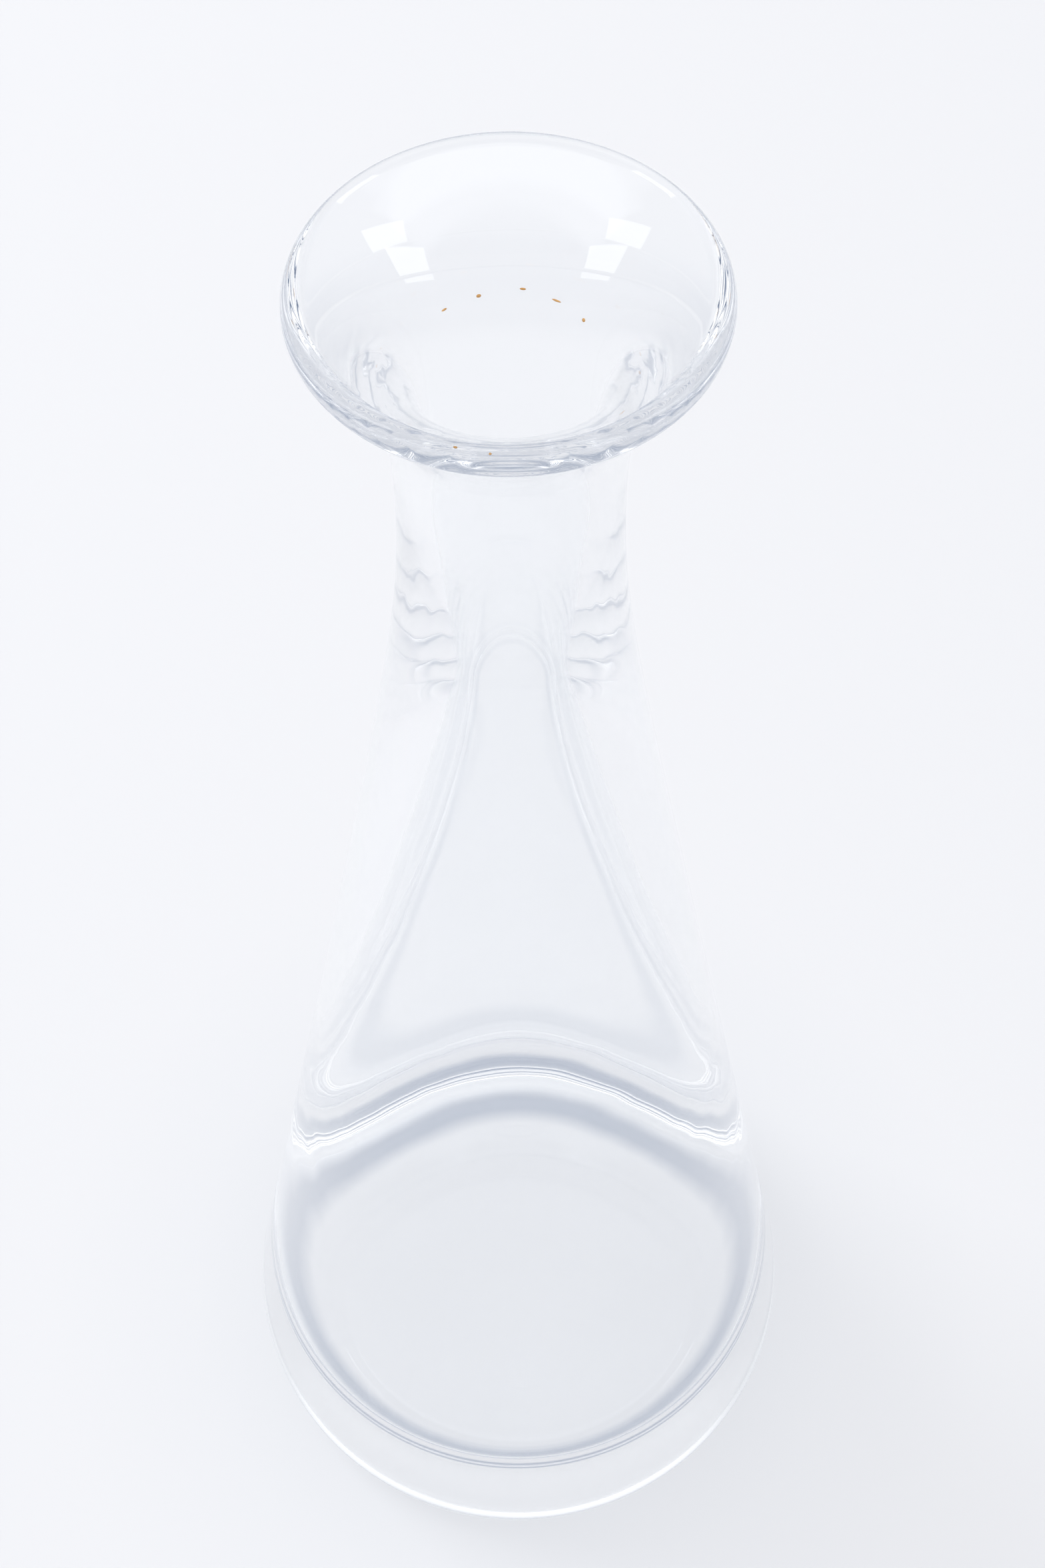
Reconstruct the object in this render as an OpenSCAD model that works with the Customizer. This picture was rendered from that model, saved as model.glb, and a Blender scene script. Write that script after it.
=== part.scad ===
// Conical trap bottle in clear, thick-walled glass, one piece: a heavy foot, a tall
// tapering body, a narrow neck and a mouth that flares out to a rounded lip.
// The origin is the centre of the ring that the bottle stands on, and +Z is its axis.

/* [Outside] */
// Height from the standing ring to the top of the lip, mm
bottle_height = 295; // [280:1:320]
// Largest diameter, just above the standing ring, mm
foot_d = 109; // [100:1:120]
// Radius of the rounded lower edge of the foot, mm
foot_edge_r = 6.5; // [4:0.5:9]
// Radius that the body loses per mm of height, just above the foot
foot_taper = 0.1796; // [0.175:0.0002:0.184]
// How much that taper has eased off at the top
taper_easing = 0.0057; // [0.002:0.0001:0.012]
// Outer diameter that the neck settles to, mm
neck_d = 24.8; // [24:0.1:27]
// Width of the smooth blend between body and neck, mm
shoulder_blend = 2.9; // [1:0.1:4]

/* [Mouth] */
// Largest diameter of the lip, mm
lip_d = 46.2; // [42:0.2:50]
// Radius of the rounded edge of the lip, mm
lip_r = 1.6; // [1.2:0.1:2]
// Lean of the flared wall at the lip, degrees from upright
lip_lean = 50; // [40:1:56]
// Height of glass over which the neck opens out into the lip, mm
flare_height = 69; // [50:1:75]

/* [Inside] */
// Thickness of solid glass under the middle of the bowl, mm
floor_thickness = 13.5; // [9:0.5:18]
// Height at which the bowl-shaped bottom meets the side wall, mm
bowl_height = 34; // [28:1:45]
// Squareness of the bowl: 2 is round, more is flatter with tighter corners
bowl_squareness = 2.4; // [2:0.1:3.5]
// Wall thickness where the bowl meets the side wall, mm
body_wall = 2.2; // [1.8:0.1:3]
// Depth over which the inside bends from the body's slope into the bore, mm
shoulder_bend = 24; // [6:1:30]
// Diameter of the straight bore through the neck, mm
bore_d = 16.8; // [15:0.2:17.4]
// Length of that straight bore, mm
bore_length = 24; // [18:1:26]

/* [Underside] */
// Diameter of the shallow hollow under the foot, mm
punt_d = 88; // [70:1:92]
// Depth of that hollow, mm
punt_depth = 1.2; // [0.6:0.1:3]

/* [Hidden] */
$fn = 180;
bore_low = 0.82 * bottle_height;
bore_high = bore_low + bore_length;
lip_centre = [lip_d / 2 - lip_r, bottle_height - lip_r];
// Where the outside and the inside of the flare meet the rounded lip
lip_outer_end = lip_centre + lip_r * [cos(lip_lean), -sin(lip_lean)];
lip_inner_end = lip_centre - lip_r * [cos(lip_lean), -sin(lip_lean)];
foot_edge_end = foot_edge_r * (1 + sin(atan(foot_taper)));

// A smooth larger-of-two, which rounds the corner between body and neck
function blend_max(a, b, width) = (a + b + sqrt(pow(a - b, 2) + pow(width, 2))) / 2;

// Outer radius of body and neck at height z, before the mouth flares
function core_r(z) =
    let (rise = z - foot_edge_r)
    blend_max(
        foot_d / 2 - foot_taper * rise + taper_easing * rise * rise / bottle_height,
        neck_d / 2,
        shoulder_blend
    );

// Radius that a flare from low up to end adds at height z, where end is on the lip
function flare_gain(z, low, end, start_r) =
    let (gain = end[0] - start_r)
    let (power = tan(lip_lean) * (end[1] - low) / gain)
    gain * pow(max(0, (z - low) / (end[1] - low)), power);

function outer_r(z) = core_r(z) + flare_gain(
    z, lip_outer_end[1] - flare_height, lip_outer_end, core_r(lip_outer_end[1])
);

// How far the inside has opened out at a depth below the bore, without any corner
function bend(depth) = sqrt(depth * depth + shoulder_bend * shoulder_bend) - shoulder_bend;

// Inner radius: the body below the bore, then the bore and the flare above it
function body_inner_r(z) =
    let (widening = core_r(bowl_height) - body_wall - bore_d / 2)
    bore_d / 2 + widening * bend(bore_low - z) / bend(bore_low - bowl_height);
function mouth_inner_r(z) =
    bore_d / 2 + flare_gain(z, bore_high, lip_inner_end, bore_d / 2);

// Points of the bowl-shaped bottom, from its middle out to the side wall
function bowl_point(a) =
    let (z = bowl_height - (bowl_height - floor_thickness) * pow(cos(a), 2 / bowl_squareness))
    [body_inner_r(z) * pow(sin(a), 2 / bowl_squareness), z];

// count + 1 evenly spaced heights from low to high
function heights(low, high, count) = [for (i = [0:count]) low + (high - low) * i / count];

function reversed(list) = [for (i = [len(list) - 1:-1:0]) list[i]];

foot_points = [for (a = [-90:10:0])
    [core_r(foot_edge_end) + foot_edge_r * (cos(a) - cos(atan(foot_taper))),
     foot_edge_r * (1 + sin(a))]];
outer_points = [
    for (z = concat(
        heights(foot_edge_end, bore_low - 20, 10),
        heights(bore_low - 16, bore_high, 10),
        heights(bore_high + 3, lip_outer_end[1], 12)
    )) [outer_r(z), z]
];
lip_points = [for (a = [-lip_lean:12:180 - lip_lean])
    lip_centre + lip_r * [cos(a), sin(a)]];
body_inner_points = [
    for (z = concat(heights(bowl_height, bore_low - 20, 10), heights(bore_low - 16, bore_low - 2, 6)))
        [body_inner_r(z), z]
];
mouth_inner_points = [
    for (z = concat([bore_low], heights(bore_high, lip_inner_end[1], 14)))
        [mouth_inner_r(z), z]
];
bowl_points = [for (a = [0:6:84]) bowl_point(a)];
punt_points = [for (a = [0:6:30])
    [punt_d / 2 * sin(a) / sin(30), punt_depth * (cos(a) - cos(30)) / (1 - cos(30))]];

module glass_bottle() {
    color([0.85, 0.9, 0.93, 0.35])
        rotate_extrude()
            polygon(concat(
                punt_points,
                foot_points,
                outer_points,
                lip_points,
                reversed(mouth_inner_points),
                reversed(body_inner_points),
                reversed(bowl_points)
            ));
}

glass_bottle();
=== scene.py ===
"""A clear glass trap bottle standing on a pale table in bright, even studio light."""

import math

import bmesh
import bpy
from mathutils import Matrix, Vector


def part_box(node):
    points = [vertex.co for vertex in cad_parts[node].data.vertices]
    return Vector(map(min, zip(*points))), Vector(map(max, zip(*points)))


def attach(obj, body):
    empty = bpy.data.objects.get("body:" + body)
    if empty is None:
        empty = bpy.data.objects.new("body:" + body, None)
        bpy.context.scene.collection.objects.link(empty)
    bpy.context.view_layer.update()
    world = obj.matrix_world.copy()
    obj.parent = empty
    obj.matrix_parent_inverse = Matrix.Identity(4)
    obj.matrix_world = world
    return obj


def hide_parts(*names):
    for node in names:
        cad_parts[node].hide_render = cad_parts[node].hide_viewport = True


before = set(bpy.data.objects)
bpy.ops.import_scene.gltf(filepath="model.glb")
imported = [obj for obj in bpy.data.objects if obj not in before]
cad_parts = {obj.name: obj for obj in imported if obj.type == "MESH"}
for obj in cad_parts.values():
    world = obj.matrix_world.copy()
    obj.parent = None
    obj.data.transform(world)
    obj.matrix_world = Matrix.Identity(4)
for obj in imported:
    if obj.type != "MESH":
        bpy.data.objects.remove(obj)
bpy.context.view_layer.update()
bottle_low, bottle_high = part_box("glass_bottle")

# ---------------------------------------------------------------- sizes, metres
HEIGHT = bottle_high.z - bottle_low.z
FOOT_RADIUS = 0.0545
FOOT_EDGE = 0.0065
FOOT_TAPER = 0.1796
TAPER_EASING = 0.0057
NECK_RADIUS = 0.0124
SHOULDER_BLEND = 0.0029
LIP_RADIUS = 0.0231
LIP_ROUND = 0.0016
LIP_LEAN = math.radians(50)
FLARE_HEIGHT = 0.069
FLOOR_THICKNESS = 0.0135
BOWL_HEIGHT = 0.034
BOWL_SQUARENESS = 2.4
BODY_WALL = 0.0022
BORE_RADIUS = 0.0084
BORE_LENGTH = 0.024
BORE_LOW = 0.82 * HEIGHT
BORE_HIGH = BORE_LOW + BORE_LENGTH
SHOULDER_BEND = 0.024
SHOULDER_LOW = BORE_LOW - 0.03
PUNT_RADIUS = 0.044
PUNT_DEPTH = 0.0012
PUNT_ARC = math.radians(30)
SEGMENTS = 256
FLOOR_HALF = 3
FLOOR_Z = -0.0003

LIP_CENTRE = (LIP_RADIUS - LIP_ROUND, HEIGHT - LIP_ROUND)
LIP_OUTER_END = (
    LIP_CENTRE[0] + LIP_ROUND * math.cos(LIP_LEAN),
    LIP_CENTRE[1] - LIP_ROUND * math.sin(LIP_LEAN),
)
LIP_INNER_END = (
    LIP_CENTRE[0] - LIP_ROUND * math.cos(LIP_LEAN),
    LIP_CENTRE[1] + LIP_ROUND * math.sin(LIP_LEAN),
)


# ---------------------------------------------------------------- the bottle's profile
def spread(low, high, count):
    """count + 1 evenly spaced numbers from low to high."""
    return [low + (high - low) * i / count for i in range(count + 1)]


def blend_max(a, b, width):
    """A smooth larger-of-two."""
    return (a + b + math.hypot(a - b, width)) / 2


def core_radius(z):
    """Outer radius of body and neck, before the mouth flares."""
    rise = z - FOOT_EDGE
    cone = FOOT_RADIUS - FOOT_TAPER * rise + TAPER_EASING * rise * rise / HEIGHT
    return blend_max(cone, NECK_RADIUS, SHOULDER_BLEND)


def flare_gain(z, low, end, start_radius):
    """Radius that a flare from low up to end adds at height z."""
    gain = end[0] - start_radius
    power = math.tan(LIP_LEAN) * (end[1] - low) / gain
    return gain * max(0, (z - low) / (end[1] - low)) ** power


def outer_radius(z):
    low = LIP_OUTER_END[1] - FLARE_HEIGHT
    return core_radius(z) + flare_gain(z, low, LIP_OUTER_END, core_radius(LIP_OUTER_END[1]))


def body_inner_radius(z):
    """Nearly straight sides that bend smoothly into the bore."""
    widest = core_radius(BOWL_HEIGHT) - BODY_WALL - BORE_RADIUS
    return BORE_RADIUS + widest * bend(BORE_LOW - z) / bend(BORE_LOW - BOWL_HEIGHT)


def bend(depth):
    """How far the inside has opened out at a depth below the bore."""
    return math.hypot(depth, SHOULDER_BEND) - SHOULDER_BEND


def mouth_inner_radius(z):
    return BORE_RADIUS + flare_gain(z, BORE_HIGH, LIP_INNER_END, BORE_RADIUS)


def bowl_point(angle):
    power = 2 / BOWL_SQUARENESS
    z = BOWL_HEIGHT - (BOWL_HEIGHT - FLOOR_THICKNESS) * max(0, math.cos(angle)) ** power
    return (body_inner_radius(z) * max(0, math.sin(angle)) ** power, z)


def bottle_profile():
    """Outline of the glass, from the middle of the underside round to the middle of the bowl."""
    points = []
    edge_cos = math.cos(PUNT_ARC)
    for angle in spread(0, PUNT_ARC, 16)[:-1]:
        depth = PUNT_DEPTH * (math.cos(angle) - edge_cos) / (1 - edge_cos)
        points.append((PUNT_RADIUS * math.sin(angle) / math.sin(PUNT_ARC), depth))
    points.append((PUNT_RADIUS, 0))
    lean = math.atan(FOOT_TAPER)
    edge_top = FOOT_EDGE * (1 + math.sin(lean))
    for angle in spread(-math.pi / 2, lean, 24):
        radius = core_radius(edge_top) + FOOT_EDGE * (math.cos(angle) - math.cos(lean))
        points.append((radius, FOOT_EDGE * (1 + math.sin(angle))))
    for z in spread(edge_top, SHOULDER_LOW, 40)[1:]:
        points.append((outer_radius(z), z))
    for z in spread(SHOULDER_LOW, LIP_OUTER_END[1], 90)[1:]:
        points.append((outer_radius(z), z))
    for angle in spread(-LIP_LEAN, math.pi - LIP_LEAN, 24)[1:]:
        radius = LIP_CENTRE[0] + LIP_ROUND * math.cos(angle)
        points.append((radius, LIP_CENTRE[1] + LIP_ROUND * math.sin(angle)))
    for z in spread(LIP_INNER_END[1], BORE_HIGH, 50)[1:]:
        points.append((mouth_inner_radius(z), z))
    for z in spread(BORE_HIGH, BORE_LOW, 8)[1:]:
        points.append((BORE_RADIUS, z))
    for z in spread(BORE_LOW, SHOULDER_LOW, 30)[1:]:
        points.append((body_inner_radius(z), z))
    for z in spread(SHOULDER_LOW, BOWL_HEIGHT, 50)[1:]:
        points.append((body_inner_radius(z), z))
    for angle in spread(math.pi / 2, 0, 60)[1:]:
        points.append(bowl_point(angle))
    return points


def lathe(name, profile, segments):
    """A closed mesh of revolution, whose profile starts and ends on the axis."""
    shape = bmesh.new()
    rings = []
    for radius, z in profile:
        if radius < 1e-7:
            rings.append([shape.verts.new((0, 0, z))])
            continue
        ring = []
        for i in range(segments):
            angle = 2 * math.pi * i / segments
            ring.append(shape.verts.new((radius * math.cos(angle), radius * math.sin(angle), z)))
        rings.append(ring)
    for lower, upper in zip(rings, rings[1:]):
        for i in range(segments):
            j = (i + 1) % segments
            if len(lower) == 1:
                shape.faces.new((lower[0], upper[j], upper[i]))
            elif len(upper) == 1:
                shape.faces.new((lower[i], lower[j], upper[0]))
            else:
                shape.faces.new((lower[i], lower[j], upper[j], upper[i]))
    bmesh.ops.recalc_face_normals(shape, faces=shape.faces)
    for face in shape.faces:
        face.smooth = True
    mesh = bpy.data.meshes.new(name)
    shape.to_mesh(mesh)
    shape.free()
    thing = bpy.data.objects.new(name, mesh)
    bpy.context.scene.collection.objects.link(thing)
    return thing


# ---------------------------------------------------------------- materials
def new_material(name):
    material = bpy.data.materials.new(name)
    material.use_nodes = True
    tree = material.node_tree
    tree.nodes.clear()
    output = tree.nodes.new("ShaderNodeOutputMaterial")
    shader = tree.nodes.new("ShaderNodeBsdfPrincipled")
    tree.links.new(shader.outputs["BSDF"], output.inputs["Surface"])
    return material, tree, shader


def fill_ramp(ramp, stops):
    """Give a color ramp its stops, each a position and a tone."""
    while len(ramp.elements) < len(stops):
        ramp.elements.new(0.5)
    for element, (position, tone) in zip(ramp.elements, stops):
        element.position = position
        element.color = (*tone, 1)


def glass_material():
    """Clear glass with a faint waviness and a trace of tint."""
    material, tree, shader = new_material("clear_glass")
    shader.inputs["Transmission Weight"].default_value = 1.0
    shader.inputs["IOR"].default_value = 1.5
    shader.inputs["Roughness"].default_value = 0.0
    place = tree.nodes.new("ShaderNodeTexCoord")
    waves = tree.nodes.new("ShaderNodeTexNoise")
    waves.inputs["Scale"].default_value = 45.0
    waves.inputs["Detail"].default_value = 1.0
    tree.links.new(place.outputs["Object"], waves.inputs["Vector"])
    ripple = tree.nodes.new("ShaderNodeBump")
    ripple.inputs["Strength"].default_value = 0.2
    ripple.inputs["Distance"].default_value = 0.0003
    tree.links.new(waves.outputs["Fac"], ripple.inputs["Height"])
    tree.links.new(ripple.outputs["Normal"], shader.inputs["Normal"])
    tint = tree.nodes.new("ShaderNodeValToRGB")
    tint.color_ramp.elements[0].color = (0.978, 0.988, 0.994, 1)
    tint.color_ramp.elements[1].color = (0.990, 0.995, 1.0, 1)
    tree.links.new(waves.outputs["Fac"], tint.inputs["Fac"])
    tree.links.new(tint.outputs["Color"], shader.inputs["Base Color"])
    return material


def residue_material():
    """Dried amber drops, mottled darker and paler."""
    material, tree, shader = new_material("amber_residue")
    place = tree.nodes.new("ShaderNodeTexCoord")
    grain = tree.nodes.new("ShaderNodeTexNoise")
    grain.inputs["Scale"].default_value = 1800.0
    tree.links.new(place.outputs["Object"], grain.inputs["Vector"])
    tint = tree.nodes.new("ShaderNodeValToRGB")
    tint.color_ramp.elements[0].color = (0.42, 0.17, 0.03, 1)
    tint.color_ramp.elements[1].color = (0.85, 0.52, 0.20, 1)
    tree.links.new(grain.outputs["Fac"], tint.inputs["Fac"])
    tree.links.new(tint.outputs["Color"], shader.inputs["Base Color"])
    shader.inputs["Roughness"].default_value = 0.5
    return material


DROP_DEPTH = 0.00012
DROP_LEAN = math.radians(25)
# Dried drops left on the glass: degrees round from the back, distance from the axis, height,
# half length round the mouth and half height, all lengths in metres
DROPS = [
    (-39, 0.0110, 0.2826, 0.00035, 0.00012),
    (-17, 0.0110, 0.2826, 0.00028, 0.00020),
    (8, 0.0112, 0.2830, 0.00035, 0.00014),
    (28, 0.0110, 0.2826, 0.00055, 0.00012),
    (48, 0.0108, 0.2822, 0.00022, 0.00022),
    (194, 0.0216, 0.2947, 0.00022, 0.00040),
    (185, 0.0218, 0.2946, 0.00015, 0.00012),
]


def drops_mesh():
    shape = bmesh.new()
    for degrees, radius, height, half_length, half_height in DROPS:
        angle = math.radians(90 - degrees)
        place = Matrix.Translation((radius * math.cos(angle), radius * math.sin(angle), height))
        lean = Matrix.Rotation(angle, 4, "Z") @ Matrix.Rotation(DROP_LEAN, 4, "Y")
        size = Matrix.Diagonal((DROP_DEPTH, half_length, half_height, 1))
        bmesh.ops.create_icosphere(shape, subdivisions=2, radius=1, matrix=place @ lean @ size)
    for face in shape.faces:
        face.smooth = True
    mesh = bpy.data.meshes.new("dried_drops")
    shape.to_mesh(mesh)
    shape.free()
    return mesh


# A painted shade of the bottle on the floor, by distance from its axis in tenths of a metre. Its ring
# was chosen so that the glass has something dark to refract
CONTACT_TONES = [
    (0.00, (0.965, 0.968, 0.975)),
    (0.42, (0.95, 0.955, 0.963)),
    (0.46, (0.52, 0.57, 0.66)),
    (0.49, (0.52, 0.57, 0.66)),
    (0.53, (0.94, 0.95, 0.96)),
    (0.70, (0.975, 0.98, 0.985)),
    (1.00, (1.00, 1.00, 1.00)),
]


def floor_material():
    """Pale around the bottle, with a painted shade where it stands, and painted darker and bluer far away,
    standing in for the dim rest of a room.
    """
    material, tree, shader = new_material("pale_floor")
    place = tree.nodes.new("ShaderNodeTexCoord")
    distance = tree.nodes.new("ShaderNodeVectorMath")
    distance.operation = "LENGTH"
    tree.links.new(place.outputs["Object"], distance.inputs[0])
    # Painted shade: the floor's colour darkens to dark blue from 0.55 m out, standing in for light falling
    # off away from the bottle
    reach = tree.nodes.new("ShaderNodeMapRange")
    reach.interpolation_type = "SMOOTHSTEP"
    reach.inputs["From Min"].default_value = 0.55
    reach.inputs["From Max"].default_value = 1.3
    tree.links.new(distance.outputs["Value"], reach.inputs["Value"])
    painted_falloff = tree.nodes.new("ShaderNodeValToRGB")
    painted_falloff.color_ramp.elements[0].color = (0.74, 0.74, 0.75, 1)
    painted_falloff.color_ramp.elements[1].color = (0.08, 0.12, 0.20, 1)
    tree.links.new(reach.outputs["Result"], painted_falloff.inputs["Fac"])
    # Painted shadow of the bottle: a dark blue-grey ring under its foot, paler within and beyond
    closeness = tree.nodes.new("ShaderNodeMapRange")
    closeness.inputs["From Max"].default_value = 0.1
    tree.links.new(distance.outputs["Value"], closeness.inputs["Value"])
    painted_contact_shade = tree.nodes.new("ShaderNodeValToRGB")
    fill_ramp(painted_contact_shade.color_ramp, CONTACT_TONES)
    tree.links.new(closeness.outputs["Result"], painted_contact_shade.inputs["Fac"])
    shaded = tree.nodes.new("ShaderNodeMix")
    shaded.data_type = "RGBA"
    shaded.blend_type = "MULTIPLY"
    shaded.inputs["Factor"].default_value = 1
    colors = [socket for socket in shaded.inputs if socket.type == "RGBA"]
    tree.links.new(painted_falloff.outputs["Color"], colors[0])
    tree.links.new(painted_contact_shade.outputs["Color"], colors[1])
    shaded_color = [socket for socket in shaded.outputs if socket.type == "RGBA"][0]
    tree.links.new(shaded_color, shader.inputs["Base Color"])
    shader.inputs["Roughness"].default_value = 0.6
    return material


bottle = lathe("glass_bottle_fine", bottle_profile(), SEGMENTS)
bottle.data.materials.append(glass_material())
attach(bottle, "root")
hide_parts("glass_bottle")

drops = bpy.data.objects.new("dried_drops", drops_mesh())
bpy.context.scene.collection.objects.link(drops)
drops.data.materials.append(residue_material())
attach(drops, "root")

# ---------------------------------------------------------------- floor
floor_mesh = bpy.data.meshes.new("floor")
floor_corners = [(x * FLOOR_HALF, y * FLOOR_HALF, FLOOR_Z) for x, y in ((-1, -1), (1, -1), (1, 1), (-1, 1))]
floor_mesh.from_pydata(floor_corners, [], [(0, 1, 2, 3)])
floor_mesh.materials.append(floor_material())
floor = bpy.data.objects.new("floor", floor_mesh)
bpy.context.scene.collection.objects.link(floor)

# ---------------------------------------------------------------- surroundings and lights
scene = bpy.context.scene
world = bpy.data.worlds.new("bright_room")
scene.world = world
world.use_nodes = True
room = world.node_tree
room.nodes.clear()
room_output = room.nodes.new("ShaderNodeOutputWorld")
room_light = room.nodes.new("ShaderNodeBackground")
room_place = room.nodes.new("ShaderNodeTexCoord")
room_split = room.nodes.new("ShaderNodeSeparateXYZ")
room_ramp = room.nodes.new("ShaderNodeValToRGB")
room.links.new(room_place.outputs["Generated"], room_split.inputs["Vector"])
room.links.new(room_light.outputs["Background"], room_output.inputs["Surface"])

# Tones of the room by the sine of the height above the horizon, from straight down to straight up
ROOM_TONES = [
    (-1.00, (0.10, 0.14, 0.24)),
    (0.00, (0.10, 0.15, 0.26)),
    (0.12, (0.30, 0.36, 0.48)),
    (0.26, (0.78, 0.80, 0.86)),
    (0.50, (0.88, 0.89, 0.92)),
    (1.00, (0.95, 0.96, 0.98)),
]
fill_ramp(room_ramp.color_ramp, [((height + 1) / 2, tone) for height, tone in ROOM_TONES])


def room_maths(operation, first, second):
    """One math node of the room; each input is a socket or a number."""
    node = room.nodes.new("ShaderNodeMath")
    node.operation = operation
    for socket, value in zip(node.inputs, (first, second)):
        if isinstance(value, (int, float)):
            socket.default_value = value
        else:
            room.links.new(value, socket)
    return node.outputs["Value"]


def along(direction):
    """How far a ray of the room points along a direction."""
    node = room.nodes.new("ShaderNodeVectorMath")
    node.operation = "DOT_PRODUCT"
    room.links.new(room_place.outputs["Generated"], node.inputs[0])
    node.inputs[1].default_value = direction
    return node.outputs["Value"]


def falls_off(value, edge, softness):
    """1 where value is under edge, and softly 0 beyond it."""
    node = room.nodes.new("ShaderNodeMapRange")
    node.interpolation_type = "SMOOTHSTEP"
    room.links.new(value, node.inputs["Value"])
    node.inputs["From Min"].default_value = edge - softness
    node.inputs["From Max"].default_value = edge + softness
    node.inputs["To Min"].default_value = 1
    node.inputs["To Max"].default_value = 0
    return node.outputs["Result"]


def window(azimuth, elevation, half_width, half_height, softness, strength):
    """Brightness of a rectangular window; azimuth 0 is behind the bottle and 90 is on the right."""
    side = math.radians(azimuth)
    rise = math.radians(elevation)
    facing = Vector((math.sin(side) * math.cos(rise), math.cos(side) * math.cos(rise), math.sin(rise)))
    across = Vector((math.cos(side), -math.sin(side), 0))
    upward = across.cross(facing)
    ahead = room_maths("MAXIMUM", along(facing), 0.001)
    wide = room_maths("DIVIDE", room_maths("ABSOLUTE", along(across), 0), ahead)
    tall = room_maths("DIVIDE", room_maths("ABSOLUTE", along(upward), 0), ahead)
    inside = room_maths(
        "MULTIPLY", falls_off(wide, half_width, softness), falls_off(tall, half_height, softness)
    )
    return room_maths("MULTIPLY", inside, strength)


room_height = room_maths("MULTIPLY_ADD", room_split.outputs["Z"], 0.5)
room_height.node.inputs[2].default_value = 0.5
room.links.new(room_height, room_ramp.inputs["Fac"])
WINDOWS = [
    (104, 17, 0.20, 0.12, 0.01, 2.4),
    (-106, 17, 0.20, 0.12, 0.01, 2.4),
    (3, 44, 0.50, 0.30, 0.15, 0.30),
    (180, 56, 1.60, 0.30, 0.10, 0.7),
]
room_glow = None
for shape in WINDOWS:
    glow = window(*shape)
    room_glow = glow if room_glow is None else room_maths("ADD", room_glow, glow)
room_sum = room.nodes.new("ShaderNodeMix")
room_sum.data_type = "RGBA"
room_sum.blend_type = "ADD"
room_sum.inputs["Factor"].default_value = 1
room_tint = room.nodes.new("ShaderNodeCombineColor")
for channel in ("Red", "Green", "Blue"):
    room.links.new(room_glow, room_tint.inputs[channel])
room_colors = [socket for socket in room_sum.inputs if socket.type == "RGBA"]
room.links.new(room_ramp.outputs["Color"], room_colors[0])
room.links.new(room_tint.outputs["Color"], room_colors[1])
room_result = [socket for socket in room_sum.outputs if socket.type == "RGBA"][0]
room.links.new(room_result, room_light.inputs["Color"])
# The glass does not hold the room's light off the floor, where CONTACT_TONES paints its shade instead
world.cycles.sampling_method = "NONE"
bottle.visible_diffuse = False


def soft_light(name, place, target, width, depth, power, tint):
    """A panel that lights the floor and throws a soft shadow, and that the glass doesn't mirror."""
    lamp = bpy.data.lights.new(name, "AREA")
    lamp.shape = "RECTANGLE"
    lamp.size = width
    lamp.size_y = depth
    lamp.energy = power
    lamp.color = tint
    lamp.cycles.use_multiple_importance_sampling = False
    thing = bpy.data.objects.new(name, lamp)
    bpy.context.scene.collection.objects.link(thing)
    thing.location = place
    aim = Vector(target) - Vector(place)
    thing.rotation_euler = aim.to_track_quat("-Z", "Y").to_euler()
    return thing


soft_light("left_panel", (-1.3, 0.9, 1.6), (0, 0, 0), 1.0, 1.0, 8.0, (1, 1, 1))

# ---------------------------------------------------------------- camera
CAMERA_DOWN = math.radians(58.465)
CAMERA_TURN = math.radians(0.446)
CAMERA_ROLL = math.radians(0.222)
CAMERA_PLACE = Vector((0, -0.1571, 0.4551))
lens = bpy.data.cameras.new("camera")
lens.sensor_fit = "AUTO"
lens.sensor_width = 36
lens.lens = 50
lens.clip_start = 0.01
lens.clip_end = 20
camera = bpy.data.objects.new("camera", lens)
scene.collection.objects.link(camera)
forward = Vector((
    math.sin(CAMERA_TURN) * math.cos(CAMERA_DOWN),
    math.cos(CAMERA_TURN) * math.cos(CAMERA_DOWN),
    -math.sin(CAMERA_DOWN),
))
level_right = Vector((math.cos(CAMERA_TURN), -math.sin(CAMERA_TURN), 0))
level_up = level_right.cross(forward)
right = level_right * math.cos(CAMERA_ROLL) - level_up * math.sin(CAMERA_ROLL)
up = level_up * math.cos(CAMERA_ROLL) + level_right * math.sin(CAMERA_ROLL)
turn = Matrix((right, up, -forward)).transposed()
camera.matrix_world = Matrix.Translation(CAMERA_PLACE) @ turn.to_4x4()
scene.camera = camera

scene.view_settings.view_transform = "Standard"
scene.cycles.max_bounces = 96
scene.cycles.transmission_bounces = 96
scene.cycles.glossy_bounces = 96
scene.cycles.caustics_refractive = True
scene.cycles.caustics_reflective = True
